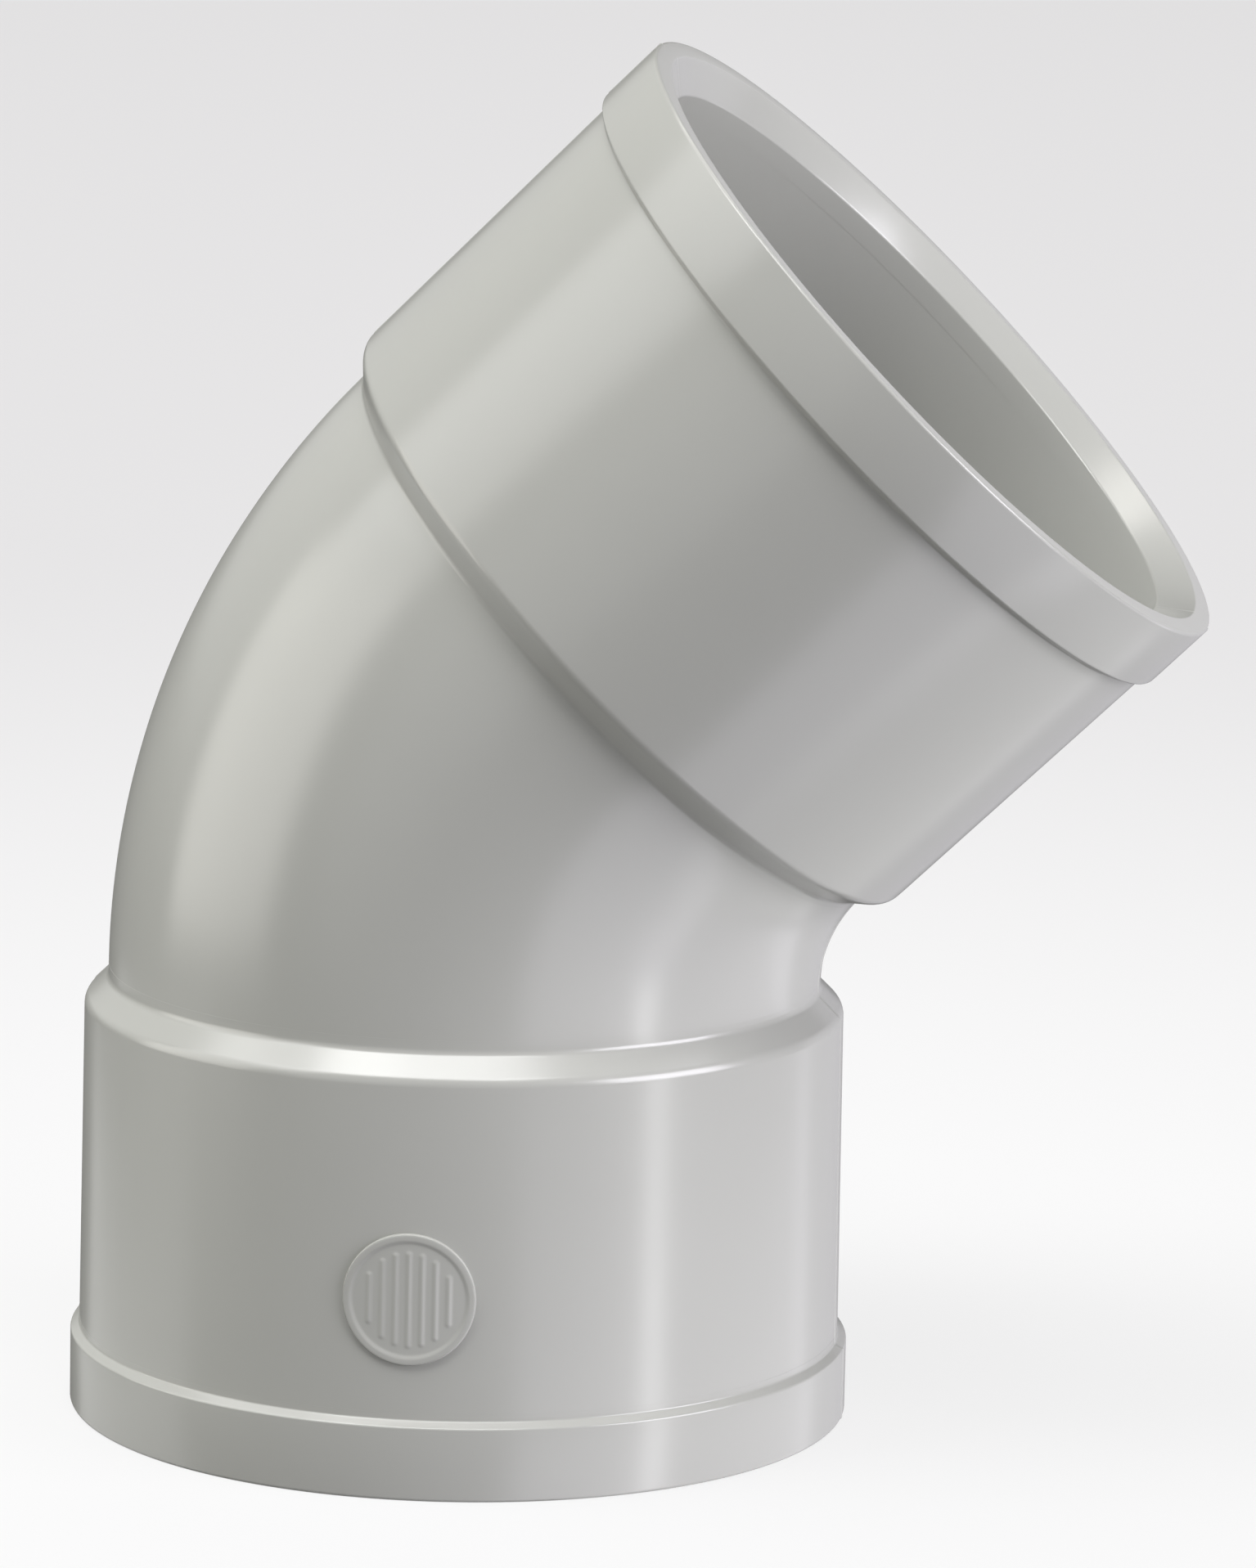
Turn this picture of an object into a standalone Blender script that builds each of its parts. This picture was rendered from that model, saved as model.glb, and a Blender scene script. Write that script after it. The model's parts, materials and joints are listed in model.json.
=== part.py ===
"""A 45 degree PVC-U elbow fitting with a solvent-weld socket at each end, for 50 mm pipe.

Frame: the origin is under the middle of the fitting's box, on the surface that it stands on.
+Z is up, along the axis of the lower socket, and the bend leans towards +X.
The fitting is symmetric about the plane y = 0, apart from the raised roundel on the front of the lower
socket.
"""

import math

import bmesh
import bpy
from mathutils import Matrix, Vector

MM = 0.001

# The pipe that the fitting joins, and the wall that the fitting is moulded with.
PIPE_RADIUS = 25.0 * MM
PIPE_CLEARANCE = 0.15 * MM
WALL = 3.0 * MM
JOINT_GAP = 0.3 * MM

# Each socket, measured along its own axis from its mouth.
BORE_RADIUS = PIPE_RADIUS + PIPE_CLEARANCE
SOCKET_DEPTH = 30.0 * MM
SHOULDER_START = 30.4 * MM
SOCKET_LENGTH = 32.1 * MM
SOCKET_RADIUS = BORE_RADIUS + WALL
SOCKET_DRAFT = 0.1 * MM
SHOULDER_ROUND = 0.9 * MM

# The collar round each mouth, and the tongue of the socket that it sits on.
COLLAR_RADIUS = 28.9 * MM
COLLAR_LENGTH = 5.7 * MM
COLLAR_RIM_ROUND = 0.6 * MM
COLLAR_STEP_ROUND = 0.5 * MM
LEAD_IN_RADIUS = 27.3 * MM
LEAD_IN_DEPTH = 1.8 * MM
TONGUE_START = 3.3 * MM
TONGUE_RADIUS = 26.7 * MM

# The bend between the sockets. Its arc runs from one shoulder to the other.
BEND_ANGLE = math.radians(45.0)
AXIS_LENGTH = 47.55 * MM
BEND_OUTER_RADIUS = 26.3 * MM
BEND_BORE_RADIUS = 23.2 * MM
ARC_START = SOCKET_LENGTH + JOINT_GAP
BEND_ARC_RADIUS = (AXIS_LENGTH - ARC_START) / math.tan(BEND_ANGLE / 2)
SPIGOT_RADIUS = BORE_RADIUS - JOINT_GAP
SPIGOT_LENGTH = ARC_START - SOCKET_DEPTH

# The raised roundel on the lower socket, which sits in a round pocket.
ROUNDEL_RADIUS = 4.8 * MM
ROUNDEL_HEIGHT = 14.6 * MM
ROUNDEL_PROUD = 0.5 * MM
ROUNDEL_BEARING = math.radians(-87.5)
POCKET_FLOOR = 26.9 * MM

# Fineness of the round shapes.
TURN_STEPS = 64
ARC_STEPS = 14
ROUND_STEPS = 3
CUTTER_MARGIN = 2.0 * MM

PVC_GREY = (0.47, 0.47, 0.445)
PVC_GREY_BRIGHT = (0.50, 0.50, 0.475)
PVC_ROUGHNESS = 0.34


def clear_scene():
    for item in list(bpy.data.objects):
        bpy.data.objects.remove(item, do_unlink=True)


def new_collection(name, is_helper=False):
    collection = bpy.data.collections.new(name)
    bpy.context.scene.collection.children.link(collection)
    collection.hide_render = is_helper
    return collection


def plastic(name, colour, roughness):
    material = bpy.data.materials.new(name)
    material.use_nodes = True
    shader = material.node_tree.nodes["Principled BSDF"]
    shader.inputs["Base Color"].default_value = (*colour, 1.0)
    shader.inputs["Roughness"].default_value = roughness
    shader.inputs["Metallic"].default_value = 0.0
    material.diffuse_color = (*colour, 1.0)
    return material


def add_object(name, data, collection, material=None, parent=None):
    item = bpy.data.objects.new(name, data)
    collection.objects.link(item)
    item.parent = parent
    if material:
        data.materials.append(material)
    return item


def add_cutter(name, data, collection, parent=None):
    item = add_object(name, data, collection, parent=parent)
    item.hide_render = True
    item.display_type = "WIRE"
    return item


def add_empty(name, collection, location, turn_about_y=0.0, parent=None):
    item = add_object(name, None, collection, parent=parent)
    item.location = location
    item.rotation_euler = (0.0, turn_about_y, 0.0)
    item.empty_display_size = 10.0 * MM
    return item


def rounded_corner(before, corner, after, radius):
    """Points of the arc that rounds one corner of an outline."""
    to_before = (before - corner).normalized()
    to_after = (after - corner).normalized()
    half_angle = to_before.angle(to_after) / 2
    centre = corner + (to_before + to_after).normalized() * radius / math.sin(half_angle)
    first = corner + to_before * radius / math.tan(half_angle) - centre
    last = corner + to_after * radius / math.tan(half_angle) - centre
    points = []
    for step in range(ROUND_STEPS + 1):
        arm = first.lerp(last, step / ROUND_STEPS)
        points.append(centre + arm.normalized() * radius)
    return points


def outline_points(corners):
    """A closed outline from (radius, height, rounding) corners, with its rounded corners as arcs."""
    places = [Vector((radius, height)) for radius, height, _ in corners]
    points = []
    for index, (_, _, rounding) in enumerate(corners):
        if rounding:
            before = places[index - 1]
            after = places[(index + 1) % len(places)]
            points += rounded_corner(before, places[index], after, rounding)
        else:
            points.append(places[index])
    return points


def turned_mesh(name, corners):
    """The closed outline as a mesh of edges, for a Screw modifier to turn about Z."""
    points = outline_points(corners)
    edges = [(index, (index + 1) % len(points)) for index in range(len(points))]
    mesh = bpy.data.meshes.new(name)
    mesh.from_pydata([(point.x, 0.0, point.y) for point in points], edges, [])
    return mesh


def turn(item):
    screw = item.modifiers.new("turn", "SCREW")
    screw.axis = "Z"
    screw.steps = TURN_STEPS
    screw.render_steps = TURN_STEPS
    screw.use_merge_vertices = True
    screw.merge_threshold = 0.01 * MM
    screw.use_smooth_shade = True


def boolean(item, other, operation):
    modifier = item.modifiers.new(operation.lower() + "_" + other.name, "BOOLEAN")
    modifier.operation = operation
    modifier.object = other
    modifier.solver = "EXACT"


def collar_outline():
    """Mouth ring: flat rim, lead-in cone, pipe bore, and a counterbore over the socket's tongue."""
    counterbore = TONGUE_RADIUS + JOINT_GAP
    return [
        (COLLAR_RADIUS, COLLAR_LENGTH, COLLAR_STEP_ROUND),
        (COLLAR_RADIUS, 0.0, COLLAR_RIM_ROUND),
        (LEAD_IN_RADIUS, 0.0, 0.0),
        (BORE_RADIUS, LEAD_IN_DEPTH, 0.0),
        (BORE_RADIUS, TONGUE_START - JOINT_GAP, 0.0),
        (counterbore, TONGUE_START - JOINT_GAP, 0.0),
        (counterbore, COLLAR_LENGTH, 0.0),
    ]


def socket_outline():
    """Socket wall: a tongue inside the collar, a drafted outside, a conical shoulder, and the pipe bore."""
    body_start = COLLAR_LENGTH + JOINT_GAP
    return [
        (BEND_OUTER_RADIUS, SOCKET_LENGTH, 0.0),
        (SOCKET_RADIUS - SOCKET_DRAFT, SHOULDER_START, SHOULDER_ROUND),
        (SOCKET_RADIUS + SOCKET_DRAFT, body_start, 0.0),
        (TONGUE_RADIUS, body_start, 0.0),
        (TONGUE_RADIUS, TONGUE_START, 0.0),
        (BORE_RADIUS, TONGUE_START, 0.0),
        (BORE_RADIUS, SOCKET_LENGTH, 0.0),
    ]


def radial_cylinder(name, radius, start, end):
    """A cylinder along the roundel's bearing, from one distance off the socket's axis to another."""
    mesh = bpy.data.meshes.new(name)
    shape = bmesh.new()
    bmesh.ops.create_cone(
        shape,
        cap_ends=True,
        segments=TURN_STEPS // 2,
        radius1=radius,
        radius2=radius,
        depth=end - start,
    )
    place = (
        Matrix.Rotation(ROUNDEL_BEARING, 4, "Z")
        @ Matrix.Translation(((start + end) / 2, 0.0, ROUNDEL_HEIGHT))
        @ Matrix.Rotation(math.pi / 2, 4, "Y")
    )
    shape.transform(place)
    shape.to_mesh(mesh)
    shape.free()
    return mesh


def socket_cylinder(name, radius):
    """A solid cylinder about the socket's axis, over the roundel's height."""
    mesh = bpy.data.meshes.new(name)
    shape = bmesh.new()
    height = 2 * (ROUNDEL_RADIUS + CUTTER_MARGIN)
    bmesh.ops.create_cone(
        shape,
        cap_ends=True,
        segments=2 * TURN_STEPS,
        radius1=radius,
        radius2=radius,
        depth=height,
    )
    bmesh.ops.translate(shape, verts=shape.verts, vec=(0.0, 0.0, ROUNDEL_HEIGHT))
    shape.to_mesh(mesh)
    shape.free()
    return mesh


def extruded_ring(shape, ring, vector):
    """Pulls a ring of edges along a vector into a wall, and returns the ring at its far end."""
    made = bmesh.ops.extrude_edge_only(shape, edges=ring)["geom"]
    points = [item for item in made if isinstance(item, bmesh.types.BMVert)]
    bmesh.ops.translate(shape, verts=points, vec=vector)
    return [item for item in made if isinstance(item, bmesh.types.BMEdge) and item.is_boundary]


def bent_bar(name, radius, run):
    """A solid round bar round the bend's arc, with a straight run at each end, along the sockets' axes."""
    upwards = Vector((0.0, 0.0, 1.0))
    outwards = Vector((math.sin(BEND_ANGLE), 0.0, math.cos(BEND_ANGLE)))
    shape = bmesh.new()
    bmesh.ops.create_circle(shape, cap_ends=False, segments=TURN_STEPS, radius=radius)
    bmesh.ops.translate(shape, verts=shape.verts, vec=upwards * (ARC_START - run))
    ring = shape.edges[:]
    if run:
        ring = extruded_ring(shape, ring, upwards * run)
    arc = bmesh.ops.spin(
        shape,
        geom=ring,
        cent=(BEND_ARC_RADIUS, 0.0, ARC_START),
        axis=(0.0, 1.0, 0.0),
        angle=BEND_ANGLE,
        steps=ARC_STEPS,
    )
    ring = [item for item in arc["geom_last"] if isinstance(item, bmesh.types.BMEdge)]
    if run:
        extruded_ring(shape, ring, outwards * run)
    bmesh.ops.holes_fill(shape, edges=shape.edges)
    bmesh.ops.recalc_face_normals(shape, faces=shape.faces)
    mesh = bpy.data.meshes.new(name)
    shape.to_mesh(mesh)
    shape.free()
    return mesh


def smooth_by_angle(mesh, degrees=30.0):
    mesh.shade_smooth()
    mesh.set_sharp_from_angle(angle=math.radians(degrees))


def add_bend(parts, cutters, parent):
    """The bent tube, turned down at each end into a spigot whose end face stops the pipe."""
    material = plastic("bend_pvc", PVC_GREY, PVC_ROUGHNESS)
    mesh = bent_bar("bend", BEND_OUTER_RADIUS, 0.0)
    bend = add_object("bend", mesh, parts, material, parent)
    spigots = bent_bar("bend_spigots", SPIGOT_RADIUS, SPIGOT_LENGTH)
    boolean(bend, add_cutter("bend_spigots", spigots, cutters, parent), "UNION")
    bore = bent_bar("bend_bore", BEND_BORE_RADIUS, SPIGOT_LENGTH + CUTTER_MARGIN)
    boolean(bend, add_cutter("bend_bore", bore, cutters, parent), "DIFFERENCE")
    smooth_by_angle(mesh)


def add_socket(name, parts, mouth):
    material = plastic(name + "_pvc", PVC_GREY, PVC_ROUGHNESS)
    socket = add_object(name, turned_mesh(name, socket_outline()), parts, material, mouth)
    turn(socket)
    return socket


def add_collar(name, parts, mouth):
    material = plastic(name + "_pvc", PVC_GREY_BRIGHT, PVC_ROUGHNESS)
    collar = add_object(name, turned_mesh(name, collar_outline()), parts, material, mouth)
    turn(collar)


def add_roundel(parts, cutters, socket, mouth):
    """The roundel is a round plug with a curved front. It stands in a pocket cut into the socket."""
    front = SOCKET_RADIUS + ROUNDEL_PROUD
    back = POCKET_FLOOR + JOINT_GAP
    beyond = COLLAR_RADIUS + CUTTER_MARGIN
    pocket = radial_cylinder("roundel_pocket", ROUNDEL_RADIUS + JOINT_GAP, POCKET_FLOOR, beyond)
    boolean(socket, add_cutter("roundel_pocket", pocket, cutters, mouth), "DIFFERENCE")
    plug = radial_cylinder("roundel", ROUNDEL_RADIUS, back, beyond)
    material = plastic("roundel_pvc", PVC_GREY_BRIGHT, PVC_ROUGHNESS)
    roundel = add_object("roundel", plug, parts, material, mouth)
    face = add_cutter("roundel_face", socket_cylinder("roundel_face", front), cutters, mouth)
    boolean(roundel, face, "INTERSECT")
    smooth_by_angle(plug)


def main():
    clear_scene()
    parts = new_collection("pvc_elbow_fitting")
    cutters = new_collection("cutters", is_helper=True)

    leaving = Vector((math.sin(BEND_ANGLE), 0.0, math.cos(BEND_ANGLE)))
    corner = Vector((0.0, 0.0, AXIS_LENGTH))
    # How far the upper rim reaches along +X: to the centre of its rounded edge, and then the rounding.
    rim_from_corner = AXIS_LENGTH + COLLAR_RADIUS - 2 * COLLAR_RIM_ROUND
    reach = rim_from_corner * math.sin(BEND_ANGLE) + COLLAR_RIM_ROUND
    fitting = add_empty("fitting", parts, ((COLLAR_RADIUS - reach) / 2, 0.0, 0.0))
    lower_mouth = add_empty("lower_mouth", parts, (0.0, 0.0, 0.0), 0.0, fitting)
    upper_place = corner + leaving * AXIS_LENGTH
    upper_mouth = add_empty("upper_mouth", parts, upper_place, math.pi + BEND_ANGLE, fitting)

    add_bend(parts, cutters, fitting)
    lower_socket = add_socket("lower_socket", parts, lower_mouth)
    add_socket("upper_socket", parts, upper_mouth)
    add_collar("lower_collar", parts, lower_mouth)
    add_collar("upper_collar", parts, upper_mouth)
    add_roundel(parts, cutters, lower_socket, lower_mouth)


main()
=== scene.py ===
"""Looks of the 45 degree PVC-U elbow fitting: one pale grey injection moulding on a white studio floor.

Every piece is a skin of rings round an axis line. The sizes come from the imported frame, and the small
roundings, fillets, parting line and relief that a moulding has are named below, in metres.
"""

import json
import math

import bmesh
import bpy
import numpy as np
from mathutils import Matrix, Vector


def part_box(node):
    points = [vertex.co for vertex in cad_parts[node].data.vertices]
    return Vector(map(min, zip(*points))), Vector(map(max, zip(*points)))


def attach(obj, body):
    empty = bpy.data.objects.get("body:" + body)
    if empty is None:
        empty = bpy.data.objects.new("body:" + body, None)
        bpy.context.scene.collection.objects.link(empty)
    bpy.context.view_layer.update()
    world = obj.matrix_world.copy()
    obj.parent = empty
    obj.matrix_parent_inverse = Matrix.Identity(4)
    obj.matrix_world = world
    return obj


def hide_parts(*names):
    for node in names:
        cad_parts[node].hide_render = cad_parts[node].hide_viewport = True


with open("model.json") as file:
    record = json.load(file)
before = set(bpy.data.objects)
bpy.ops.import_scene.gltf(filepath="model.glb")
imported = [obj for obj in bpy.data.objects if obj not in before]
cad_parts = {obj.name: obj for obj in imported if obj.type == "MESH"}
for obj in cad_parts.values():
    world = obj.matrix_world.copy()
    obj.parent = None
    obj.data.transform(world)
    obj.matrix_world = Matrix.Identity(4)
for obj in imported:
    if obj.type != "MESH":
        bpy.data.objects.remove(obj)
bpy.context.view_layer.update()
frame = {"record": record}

MM = 0.001

# Sizes that the frame gives.
mounts = {mount["name"]: mount for mount in frame["record"]["mounts"]}
collar_low, collar_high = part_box("lower_collar")
socket_low, socket_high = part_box("lower_socket")
bend_low, bend_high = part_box("bend")
roundel_low, roundel_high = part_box("roundel")

AXIS_X = mounts["lower_mouth_face"]["pos_m"][0]
COLLAR_RADIUS = (collar_high.y - collar_low.y) / 2
COLLAR_LENGTH = collar_high.z
SOCKET_RADIUS = (socket_high.y - socket_low.y) / 2
SOCKET_LENGTH = socket_high.z
PIPE_STOP = mounts["lower_pipe_stop"]["pos_m"][2]
BEND_RADIUS = (bend_high.y - bend_low.y) / 2
UPPER_AXIS = Vector(mounts["upper_mouth_face"]["axis"]).normalized()
BEND_ANGLE = math.atan2(UPPER_AXIS.x, UPPER_AXIS.z)
AXIS_LENGTH = mounts["upper_mouth_face"]["pos_m"][2] / (1 + UPPER_AXIS.z)
ROUNDEL_RADIUS = (roundel_high.z - roundel_low.z) / 2
ROUNDEL_HEIGHT = (roundel_high.z + roundel_low.z) / 2
ROUNDEL_X = (roundel_high.x + roundel_low.x) / 2

# Sizes that only the looks need. The socket's wall has its stated thickness half way along its draft.
SOCKET_WALL = 3.0 * MM
SOCKET_DRAFT = 0.2 * MM
BORE_RADIUS = SOCKET_RADIUS - SOCKET_DRAFT / 2 - SOCKET_WALL
BEND_WALL = 3.1 * MM
BEND_BORE_RADIUS = BEND_RADIUS - BEND_WALL
LEAD_IN_RADIUS = 27.3 * MM
LEAD_IN_DEPTH = 1.8 * MM
JOINT_GAP = 0.3 * MM
ARC_START = SOCKET_LENGTH + JOINT_GAP
BEND_ARC_RADIUS = (AXIS_LENGTH - ARC_START) / math.tan(BEND_ANGLE / 2)
RIM_ROUND = 0.25 * MM
LEAD_IN_ROUND = 0.25 * MM
STEP_OUTER = COLLAR_LENGTH - 0.32 * MM
STEP_INNER = COLLAR_LENGTH + 0.08 * MM
STEP_ROUND = 0.2 * MM
STEP_FILLET = 0.18 * MM
STEP_RUN_OUT = 0.5 * MM
SHOULDER_START = 30.4 * MM
SHOULDER_ROUND = 1.1 * MM
SHOULDER_FILLET = 0.7 * MM

# How the pieces run into one another out of sight, so that the moulding looks like one piece.
OVERLAP = 0.25 * MM
SKIM = 0.004 * MM
BEND_RUN_IN = 1.2 * MM
FILLET_RUN_OUT = 0.9 * MM
SOCKET_RUN_OUT = 1.0 * MM
SOCKET_TONGUE = 0.4 * MM
BORE_TAPER = 0.01 * MM
SOCKET_BORE_START = 0.55 * COLLAR_LENGTH
SOCKET_BORE_END = SOCKET_LENGTH - 1.0 * MM
COLLAR_BACK_RADIUS = BORE_RADIUS + 1.2 * MM
COLLAR_BORE_END = 0.6 * COLLAR_LENGTH

# The faint line where the two halves of the mould met, in the plane y = 0.
PARTING_HEIGHT = 0.07 * MM
PARTING_WIDTH = 0.16 * MM
PARTING_MIN_RADIUS = LEAD_IN_RADIUS - 1.2 * MM

# The round moulded mark on the lower socket, with plain relief on its face.
ROUNDEL_BEARING = math.asin((ROUNDEL_X - AXIS_X) / SOCKET_RADIUS) - math.pi / 2
ROUNDEL_SUNK = 0.15 * MM
ROUNDEL_FACE = 0.17 * MM
ROUNDEL_EDGE_ROUND = 0.16 * MM
RIM_WIDTH = 0.62 * MM
RIM_PROUD = 0.1 * MM
RELIEF_PROUD = 0.07 * MM
RELIEF_SOFTNESS = 0.36 * MM
STROKE_WIDTH = 0.3 * MM
RIBS_EACH_SIDE = 3
RIB_SPACING = 0.95 * MM
RIB_FIELD = 3.3 * MM
ROUNDEL_TURN_STEPS = 256
ROUNDEL_RINGS = 64

# How finely the skins are divided. The offsets are degrees either side of the parting line.
RING_STEPS = 180
ARC_STEPS = 48
CORNER_STEPS = 7
PARTING_OFFSETS = (0.15, 0.3, 0.5, 0.75, 1.1, 1.5)
SHARP_ANGLE = math.radians(40.0)


# ---- Geometry ------------------------------------------------------------------------------------


def ring_angles():
    """Angles round a ring, in radians, closer together at the parting line."""
    angles = {360.0 * step / RING_STEPS for step in range(RING_STEPS)}
    for middle in (0.0, 180.0):
        for offset in PARTING_OFFSETS:
            angles |= {(middle + offset) % 360.0, (middle - offset) % 360.0}
    return np.radians(sorted(angles))


def parting_ridge(angles, radius):
    """How far the skin stands out at each angle, for the faint line that the mould left."""
    off_line = np.abs(np.sin(angles)) * radius
    return PARTING_HEIGHT * np.exp(-((off_line / PARTING_WIDTH) ** 2))


def rounded_corner(before, corner, after, radius):
    """Points of the arc that rounds one corner of an outline."""
    to_before = (before - corner).normalized()
    to_after = (after - corner).normalized()
    half_angle = to_before.angle(to_after) / 2
    centre = corner + (to_before + to_after).normalized() * radius / math.sin(half_angle)
    first = corner + to_before * radius / math.tan(half_angle) - centre
    last = corner + to_after * radius / math.tan(half_angle) - centre
    turn = first.angle_signed(last)
    points = []
    for step in range(CORNER_STEPS + 1):
        arm = first.copy()
        arm.rotate(Matrix.Rotation(-turn * step / CORNER_STEPS, 2))
        points.append(centre + arm)
    return points


def outline_points(corners):
    """An outline from (radius, depth, rounding) corners, with its rounded corners as arcs."""
    places = [Vector((radius, depth)) for radius, depth, _ in corners]
    points = []
    for index, (_, _, rounding) in enumerate(corners):
        if rounding:
            before = places[index - 1]
            after = places[(index + 1) % len(places)]
            points += rounded_corner(before, places[index], after, rounding)
        else:
            points.append(places[index])
    return points


def skin(name, rings, material):
    """A closed surface through rings, each given as (placement matrix, radius, whether it lies outside)."""
    angles = ring_angles()
    count = len(angles)
    circle = np.stack([np.cos(angles), np.sin(angles), np.zeros(count)], axis=1)
    points = []
    for place, radius, is_outside in rings:
        reach = radius + (parting_ridge(angles, radius) if is_outside else 0.0)
        placed = np.array(place)
        points.append((circle * np.reshape(reach, (-1, 1))) @ placed[:3, :3].T + placed[:3, 3])
    faces = []
    for ring in range(len(rings)):
        here = ring * count
        there = ((ring + 1) % len(rings)) * count
        for step in range(count):
            after = (step + 1) % count
            faces.append((here + step, here + after, there + after, there + step))
    mesh = bpy.data.meshes.new(name)
    mesh.from_pydata(np.concatenate(points).tolist(), [], faces)
    return finished_piece(name, mesh, material)


def finished_piece(name, mesh, material):
    """An object for the mesh, with its faces pointing out, smooth shading and its material."""
    shape = bmesh.new()
    shape.from_mesh(mesh)
    bmesh.ops.recalc_face_normals(shape, faces=shape.faces)
    shape.to_mesh(mesh)
    shape.free()
    mesh.shade_smooth()
    mesh.set_sharp_from_angle(angle=SHARP_ANGLE)
    mesh.materials.append(material)
    piece = bpy.data.objects.new(name, mesh)
    bpy.context.scene.collection.objects.link(piece)
    return piece


def turned(name, corners, mouth, material):
    """A skin turned about a socket's axis. Its outline runs from the outside round to the bore."""
    rings = []
    for point in outline_points(corners):
        place = mouth @ Matrix.Translation((0.0, 0.0, point.y))
        rings.append((place, point.x, point.x > PARTING_MIN_RADIUS))
    return skin(name, rings, material)


def collar_corners():
    """Outline of a mouth collar: sloped step from the socket, outer wall, rim, lead-in cone and bore."""
    return [
        (SOCKET_RADIUS - OVERLAP, STEP_INNER + STEP_RUN_OUT, 0.0),
        (SOCKET_RADIUS, STEP_INNER + STEP_RUN_OUT, 0.0),
        (SOCKET_RADIUS, STEP_INNER, STEP_FILLET),
        (COLLAR_RADIUS, STEP_OUTER, STEP_ROUND),
        (COLLAR_RADIUS, 0.0, RIM_ROUND),
        (LEAD_IN_RADIUS, 0.0, LEAD_IN_ROUND),
        (BORE_RADIUS, LEAD_IN_DEPTH, LEAD_IN_ROUND),
        (BORE_RADIUS, COLLAR_BORE_END, 0.0),
        (COLLAR_BACK_RADIUS, COLLAR_BORE_END, 0.0),
    ]


def socket_corners():
    """Outline of a socket: fillet onto the bend, conical shoulder, drafted outer wall and pipe bore."""
    return [
        (BEND_RADIUS - OVERLAP, SOCKET_LENGTH + SOCKET_RUN_OUT, 0.0),
        (BEND_RADIUS + SKIM, SOCKET_LENGTH + FILLET_RUN_OUT, 0.0),
        (BEND_RADIUS + SKIM, SOCKET_LENGTH, SHOULDER_FILLET),
        (SOCKET_RADIUS - SOCKET_DRAFT, SHOULDER_START, SHOULDER_ROUND),
        (SOCKET_RADIUS - SKIM, COLLAR_LENGTH - OVERLAP, 0.0),
        (BORE_RADIUS + SOCKET_TONGUE, COLLAR_LENGTH - OVERLAP, 0.0),
        (BORE_RADIUS + BORE_TAPER, SOCKET_BORE_START, 0.0),
        (BORE_RADIUS, SOCKET_BORE_END, 0.0),
    ]


def bend_frames(run):
    """Placement matrices along the bend: a straight run into each socket, and the arc between them."""
    pivot = Matrix.Translation((AXIS_X + BEND_ARC_RADIUS, 0.0, ARC_START))
    arm = Matrix.Translation((-BEND_ARC_RADIUS, 0.0, 0.0))
    frames = [Matrix.Translation((AXIS_X, 0.0, ARC_START - run))]
    for step in range(ARC_STEPS + 1):
        frames.append(pivot @ Matrix.Rotation(BEND_ANGLE * step / ARC_STEPS, 4, "Y") @ arm)
    frames.append(frames[-1] @ Matrix.Translation((0.0, 0.0, run)))
    return frames


def bend_piece(material):
    """The bent tube. Its outside runs just into each shoulder, and its bore ends at the two pipe stops."""
    outer = [(place, BEND_RADIUS, True) for place in bend_frames(BEND_RUN_IN)]
    stop_run = ARC_START - PIPE_STOP
    inner = [(place, BEND_BORE_RADIUS, False) for place in bend_frames(stop_run - LEAD_IN_ROUND)]
    ledge_frames = bend_frames(stop_run)
    ledge_radii = (BEND_BORE_RADIUS + LEAD_IN_ROUND, BORE_RADIUS + OVERLAP)
    start_ledge = [(ledge_frames[0], radius, False) for radius in ledge_radii]
    end_ledge = [(ledge_frames[-1], radius, False) for radius in reversed(ledge_radii)]
    return skin("bend_moulding", outer + end_ledge + inner[::-1] + start_ledge, material)


def lower_mouth():
    """Placement of the lower mouth, looking into its socket."""
    return Matrix.Translation((AXIS_X, 0.0, 0.0))


def upper_mouth():
    """Placement of the upper mouth, looking back into its socket."""
    centre = Vector(mounts["upper_mouth_face"]["pos_m"])
    centre.y = 0.0
    return Matrix.Translation(centre) @ Matrix.Rotation(math.pi + BEND_ANGLE, 4, "Y")


def lower_socket_piece(material):
    """The upright socket that the fitting stands on."""
    return turned("lower_socket_moulding", socket_corners(), lower_mouth(), material)


def upper_socket_piece(material):
    """The same socket at the bend's angle."""
    return turned("upper_socket_moulding", socket_corners(), upper_mouth(), material)


def lower_collar_piece(material):
    """The wider ring round the lower mouth."""
    return turned("lower_collar_moulding", collar_corners(), lower_mouth(), material)


def upper_collar_piece(material):
    """The wider ring round the upper mouth."""
    return turned("upper_collar_moulding", collar_corners(), upper_mouth(), material)


def stroke(across, up, start, end, half_width, softness):
    """Height from 0 to 1 of a soft-edged raised stroke between two places on the roundel's face."""
    run = np.subtract(end, start)
    along = ((across - start[0]) * run[0] + (up - start[1]) * run[1]) / (run @ run)
    along = np.clip(along, 0.0, 1.0)
    gap = np.hypot(across - start[0] - along * run[0], up - start[1] - along * run[1])
    return 1.0 - soft_step(gap, half_width, softness)


def soft_step(distance, edge, softness):
    """Rises smoothly from 0 to 1 over one softness, centred on the edge."""
    share = np.clip((distance - edge) / softness + 0.5, 0.0, 1.0)
    return share * share * (3.0 - 2.0 * share)


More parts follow.
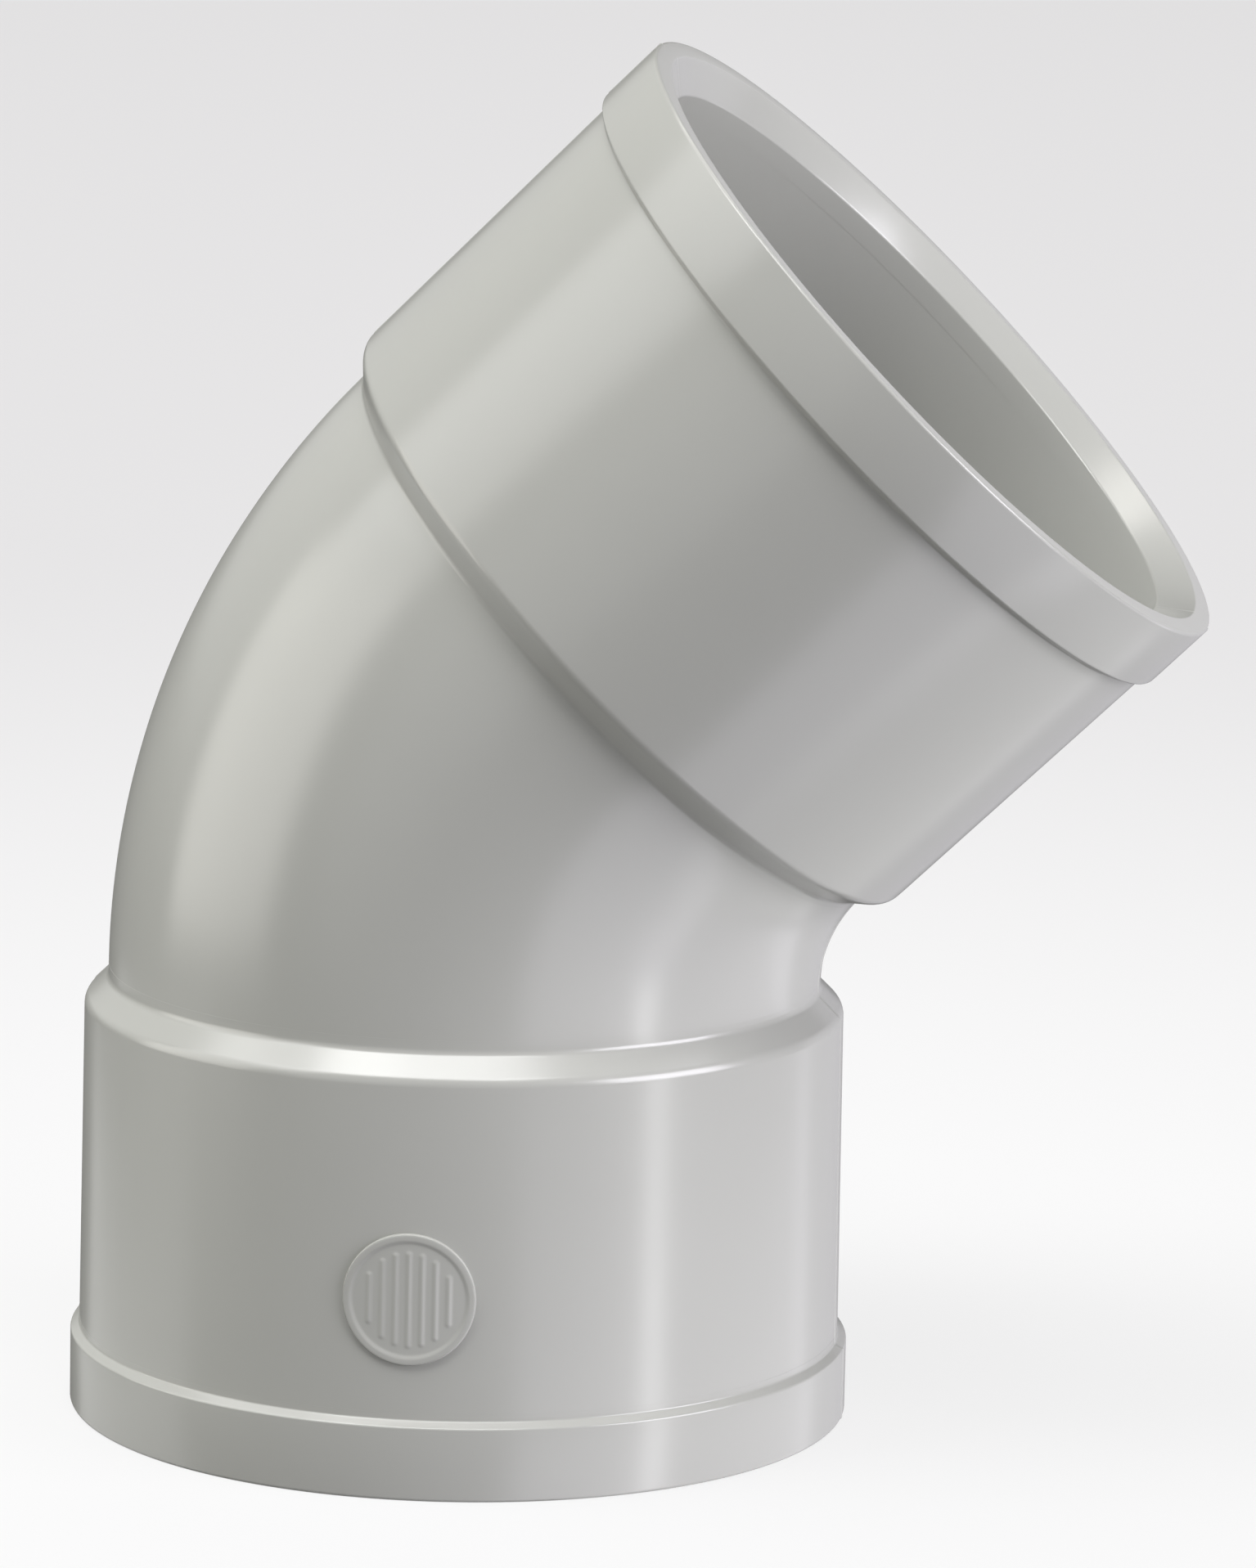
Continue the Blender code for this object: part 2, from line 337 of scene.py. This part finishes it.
def roundel_height(across, up):
    """How far the roundel's face stands out: a disc, its raised rim, and a round field of plain ribs."""
    gap = np.hypot(across, up)
    rim = soft_step(gap, ROUNDEL_RADIUS - RIM_WIDTH, RELIEF_SOFTNESS)
    relief = np.zeros_like(gap)
    for number in range(-RIBS_EACH_SIDE, RIBS_EACH_SIDE + 1):
        rib_x = number * RIB_SPACING
        reach = math.sqrt(RIB_FIELD**2 - rib_x**2)
        rib = stroke(across, up, (rib_x, -reach), (rib_x, reach), STROKE_WIDTH / 2, RELIEF_SOFTNESS)
        relief = np.maximum(relief, rib)
    rounding = np.clip((ROUNDEL_RADIUS - gap) / ROUNDEL_EDGE_ROUND, 0.0, 1.0)
    edge_drop = ROUNDEL_EDGE_ROUND * (1.0 - np.sqrt(1.0 - (1.0 - rounding) ** 2))
    return ROUNDEL_FACE + np.maximum(rim * RIM_PROUD, relief * RELIEF_PROUD) - edge_drop


def roundel_piece(material):
    """The moulded roundel: rings of points from its centre to its edge, then a skirt into the socket."""
    turns = np.linspace(0.0, 2.0 * math.pi, ROUNDEL_TURN_STEPS, endpoint=False)
    reaches = np.linspace(0.0, 1.0, ROUNDEL_RINGS)[1:] * ROUNDEL_RADIUS
    shape = bmesh.new()
    rows = []
    for reach in reaches:
        heights = roundel_height(reach * np.cos(turns), reach * np.sin(turns))
        rows.append([roundel_point(reach, turn, height) for turn, height in zip(turns, heights)])
    rows.append([roundel_point(ROUNDEL_RADIUS, turn, -ROUNDEL_SUNK) for turn in turns])
    rings = [[shape.verts.new(point) for point in row] for row in rows]
    for inner, outer in zip(rings, rings[1:]):
        for step in range(ROUNDEL_TURN_STEPS):
            after = (step + 1) % ROUNDEL_TURN_STEPS
            shape.faces.new((inner[step], inner[after], outer[after], outer[step]))
    middle = roundel_height(np.zeros(1), np.zeros(1))[0]
    for ring, height in ((rings[0], middle), (rings[-1], -ROUNDEL_SUNK)):
        centre = shape.verts.new(roundel_point(0.0, 0.0, height))
        for step in range(ROUNDEL_TURN_STEPS):
            shape.faces.new((ring[step], ring[(step + 1) % ROUNDEL_TURN_STEPS], centre))
    mesh = bpy.data.meshes.new("roundel_relief")
    shape.to_mesh(mesh)
    shape.free()
    return finished_piece("roundel_relief", mesh, material)


def roundel_point(reach, turn, height):
    """A point on the roundel, wrapped round the lower socket, at a height above the socket's wall."""
    up = ROUNDEL_HEIGHT + reach * math.sin(turn)
    share = (up - COLLAR_LENGTH) / (SHOULDER_START - COLLAR_LENGTH)
    wall = SOCKET_RADIUS - SOCKET_DRAFT * share
    bearing = ROUNDEL_BEARING + reach * math.cos(turn) / SOCKET_RADIUS
    out = wall + height
    return (AXIS_X + out * math.cos(bearing), out * math.sin(bearing), up)


# ---- Materials -----------------------------------------------------------------------------------


PVC = (0.43, 0.433, 0.405)
PVC_ROUGHNESS = 0.22
PVC_IOR = 1.53
PVC_SPECULAR = 0.7
FLOW_SCALE = 55.0
FLOW_DETAIL = 3.0
FLOW_DISTORTION = 0.3
FLOW_SHADES = ((0.3, 0.985), (0.7, 1.01))
SMEAR_SCALE = 180.0
SMEAR_DETAIL = 4.0
GLOSSIER_BY = 0.015
DULLER_BY = 0.025
PEEL_SCALE = 260.0
PEEL_DETAIL = 1.0
PEEL_STRENGTH = 0.05
PEEL_HEIGHT = 0.05 * MM

FLOOR_TONE = (0.14, 0.14, 0.14, 1.0)
FLOOR_ROUGHNESS = 0.9
# Painted light on the floor: a glow that is brightest near the object and fades further out.
GLOW_NEAR = (0.765, 0.765, 0.765, 1.0)
GLOW_FAR = (0.61, 0.603, 0.608, 1.0)
GLOW_NEAR_DISTANCE = 0.03
GLOW_FAR_DISTANCE = 0.42


def principled(name):
    """A new material with its node tree and its shader."""
    material = bpy.data.materials.new(name)
    material.use_nodes = True
    return material, material.node_tree, material.node_tree.nodes["Principled BSDF"]


def noise(tree, scale, detail, distortion=0.0):
    """The output of a noise texture laid in the object's own coordinates."""
    place = tree.nodes.new("ShaderNodeTexCoord")
    texture = tree.nodes.new("ShaderNodeTexNoise")
    texture.inputs["Scale"].default_value = scale
    texture.inputs["Detail"].default_value = detail
    texture.inputs["Distortion"].default_value = distortion
    tree.links.new(place.outputs["Object"], texture.inputs["Vector"])
    return texture.outputs["Fac"]


def add_flow_marks(tree, shader, colour):
    """Faint lighter and darker marks where the melt flowed."""
    tone = tree.nodes.new("ShaderNodeValToRGB")
    for stop, (position, shade) in zip(tone.color_ramp.elements, FLOW_SHADES):
        stop.position = position
        stop.color = (*(channel * shade for channel in colour), 1.0)
    tree.links.new(noise(tree, FLOW_SCALE, FLOW_DETAIL, FLOW_DISTORTION), tone.inputs["Fac"])
    tree.links.new(tone.outputs["Color"], shader.inputs["Base Color"])


def add_uneven_gloss(tree, shader, roughness):
    """Roughness that wanders a little either side of its value."""
    gloss = tree.nodes.new("ShaderNodeMapRange")
    gloss.inputs["To Min"].default_value = roughness - GLOSSIER_BY
    gloss.inputs["To Max"].default_value = roughness + DULLER_BY
    tree.links.new(noise(tree, SMEAR_SCALE, SMEAR_DETAIL), gloss.inputs["Value"])
    tree.links.new(gloss.outputs["Result"], shader.inputs["Roughness"])


def add_orange_peel(tree, shader):
    """The fine waviness of a moulded surface."""
    bump = tree.nodes.new("ShaderNodeBump")
    bump.inputs["Strength"].default_value = PEEL_STRENGTH
    bump.inputs["Distance"].default_value = PEEL_HEIGHT
    tree.links.new(noise(tree, PEEL_SCALE, PEEL_DETAIL), bump.inputs["Height"])
    tree.links.new(bump.outputs["Normal"], shader.inputs["Normal"])


def moulded_pvc(name):
    """Semi-gloss grey PVC-U: faint flow marks in the colour, uneven gloss, and a fine orange peel."""
    material, tree, shader = principled(name)
    shader.inputs["IOR"].default_value = PVC_IOR
    shader.inputs["Specular IOR Level"].default_value = PVC_SPECULAR
    add_flow_marks(tree, shader, PVC)
    add_uneven_gloss(tree, shader, PVC_ROUGHNESS)
    add_orange_peel(tree, shader)
    return material


def bend_pvc():
    """The bend's plastic."""
    return moulded_pvc("bend_pvc")


def socket_pvc():
    """The plastic of both sockets."""
    return moulded_pvc("socket_pvc")


def collar_pvc():
    """The plastic of both mouth collars."""
    return moulded_pvc("collar_pvc")


def roundel_pvc():
    """The roundel's plastic."""
    return moulded_pvc("roundel_pvc")


def floor_painted_glow():
    """A matt floor whose colour is mostly painted light: it glows, most strongly under the object as a
    painted pool of light, and that glow leaves only a faint shadow.
    """
    material, tree, shader = principled("floor_painted_glow")
    shader.inputs["Base Color"].default_value = FLOOR_TONE
    shader.inputs["Roughness"].default_value = FLOOR_ROUGHNESS
    shader.inputs["Specular IOR Level"].default_value = 0.0
    shader.inputs["Emission Strength"].default_value = 1.0
    place = tree.nodes.new("ShaderNodeTexCoord")
    distance = tree.nodes.new("ShaderNodeVectorMath")
    distance.operation = "LENGTH"
    glow = tree.nodes.new("ShaderNodeValToRGB")
    glow.color_ramp.interpolation = "EASE"
    glow.color_ramp.elements[0].position = GLOW_NEAR_DISTANCE
    glow.color_ramp.elements[0].color = GLOW_NEAR
    glow.color_ramp.elements[1].position = GLOW_FAR_DISTANCE
    glow.color_ramp.elements[1].color = GLOW_FAR
    tree.links.new(place.outputs["Object"], distance.inputs[0])
    tree.links.new(distance.outputs["Value"], glow.inputs["Fac"])
    tree.links.new(glow.outputs["Color"], shader.inputs["Emission Color"])
    return material


# ---- Studio --------------------------------------------------------------------------------------

# The camera was fitted to the object's outline in the photograph, so its values are not round.
AIM = Vector((AXIS_X + 11.876 * MM, 0.0, 47.153 * MM))
CAMERA_AZIMUTH = math.radians(8.52)
CAMERA_ELEVATION = math.radians(10.64)
CAMERA_ROLL = math.radians(1.25)
CAMERA_DISTANCE = 561.8 * MM
CAMERA_LENS = 175.7
CAMERA_CLIP_START = 0.01
LAMP_DISTANCE = 3.0
FLOOR_REACH = 4.0
FLOOR_SQUARES = 8
WORLD_STRENGTH = 0.07
NEUTRAL = (1.0, 1.0, 1.0)
COOL = (0.95, 0.93, 1.0)
WARM = (1.0, 0.98, 0.93)


def direction(azimuth, elevation):
    """Unit vector from the object, azimuth 0 towards -Y and growing towards +X."""
    flat = math.cos(elevation)
    return Vector((math.sin(azimuth) * flat, -math.cos(azimuth) * flat, math.sin(elevation)))


def make_camera():
    """The photograph's view."""
    data = bpy.data.cameras.new("camera")
    data.lens = CAMERA_LENS
    data.clip_start = CAMERA_CLIP_START
    camera = bpy.data.objects.new("camera", data)
    back = direction(CAMERA_AZIMUTH, CAMERA_ELEVATION)
    turn = back.to_track_quat("Z", "Y").to_matrix() @ Matrix.Rotation(CAMERA_ROLL, 3, "Z")
    camera.matrix_world = Matrix.Translation(AIM + back * CAMERA_DISTANCE) @ turn.to_4x4()
    bpy.context.scene.collection.objects.link(camera)
    bpy.context.scene.camera = camera


def softbox(name, azimuth, elevation, width, height, brightness, tint=NEUTRAL):
    """A far lamp that faces the object. Width and height are the degrees that it spans from there."""
    data = bpy.data.lights.new(name, "AREA")
    data.shape = "RECTANGLE"
    data.size = 2.0 * LAMP_DISTANCE * math.tan(math.radians(width / 2))
    data.size_y = 2.0 * LAMP_DISTANCE * math.tan(math.radians(height / 2))
    data.energy = brightness * math.pi * data.size * data.size_y
    data.color = tint
    lamp = bpy.data.objects.new(name, data)
    towards = direction(CAMERA_AZIMUTH + math.radians(azimuth), math.radians(elevation))
    turn = towards.to_track_quat("Z", "Y").to_matrix().to_4x4()
    lamp.matrix_world = Matrix.Translation(AIM + towards * LAMP_DISTANCE) @ turn
    bpy.context.scene.collection.objects.link(lamp)


def light_right_side():
    """The broad cool light from the right, with the narrow strip that draws the upright highlight."""
    softbox("right_low", 94.0, -28.0, 70.0, 32.0, 1.0, COOL)
    softbox("right_ramp", 41.0, -34.0, 46.0, 44.0, 1.35, COOL)
    softbox("right_under", 100.0, -60.0, 60.0, 30.0, 0.95)
    softbox("right_key", 66.0, 16.0, 40.0, 30.0, 7.6, COOL)
    softbox("right_back", 146.0, -15.0, 46.0, 58.0, 0.5, COOL)
    softbox("right_strip", 61.0, -9.0, 6.0, 34.0, 3.7)


def light_left_side():
    """The warmer light from the left, which draws the pale streak along the bend."""
    softbox("left_side", -88.0, 9.0, 44.0, 32.0, 2.4, WARM)
    softbox("left_high", -80.0, 40.0, 44.0, 28.0, 1.95)
    softbox("left_above", -90.0, 62.0, 50.0, 30.0, 1.85)
    softbox("left_back", -142.0, 24.0, 50.0, 40.0, 0.4)
    softbox("left_front", -34.0, 10.0, 36.0, 34.0, 0.45)
    softbox("left_low", -118.0, -28.0, 60.0, 30.0, 0.7)


def light_from_above():
    """The overhead softbox, a little in front of the object, and a smaller one a little behind it."""
    softbox("overhead", -18.0, 70.0, 46.0, 24.0, 6.2)
    softbox("overhead_back", 165.0, 62.0, 28.0, 14.0, 3.5, WARM)


def make_floor():
    """A pale floor that only the camera sees, so that the lamps alone shape the light on the object."""
    mesh = bpy.data.meshes.new("floor")
    shape = bmesh.new()
    bmesh.ops.create_grid(shape, x_segments=FLOOR_SQUARES, y_segments=FLOOR_SQUARES, size=FLOOR_REACH)
    shape.to_mesh(mesh)
    shape.free()
    mesh.materials.append(floor_painted_glow())
    floor = bpy.data.objects.new("floor", mesh)
    floor.visible_glossy = False
    floor.visible_diffuse = False
    floor.visible_shadow = False
    bpy.context.scene.collection.objects.link(floor)


def make_world():
    """A faint even white from everywhere that no lamp covers."""
    world = bpy.data.worlds.new("studio")
    world.use_nodes = True
    background = world.node_tree.nodes["Background"]
    background.inputs["Color"].default_value = (*NEUTRAL, 1.0)
    background.inputs["Strength"].default_value = WORLD_STRENGTH
    bpy.context.scene.world = world


def make_studio():
    """Camera, floor, world and lamps, shown without any tone curve."""
    make_camera()
    make_floor()
    make_world()
    light_right_side()
    light_left_side()
    light_from_above()
    bpy.context.scene.view_settings.view_transform = "Standard"


# ---- Pieces --------------------------------------------------------------------------------------

socket_plastic = socket_pvc()
collar_plastic = collar_pvc()

pieces = [
    (bend_piece(bend_pvc()), "bend", "bend_pvc"),
    (lower_socket_piece(socket_plastic), "lower_socket", "socket_pvc"),
    (upper_socket_piece(socket_plastic), "upper_socket", "socket_pvc"),
    (lower_collar_piece(collar_plastic), "lower_collar", "collar_pvc"),
    (upper_collar_piece(collar_plastic), "upper_collar", "collar_pvc"),
    (roundel_piece(roundel_pvc()), "roundel", "roundel_pvc"),
]
for piece, node, slot in pieces:
    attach(piece, "root")
    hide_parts(node)

make_studio()
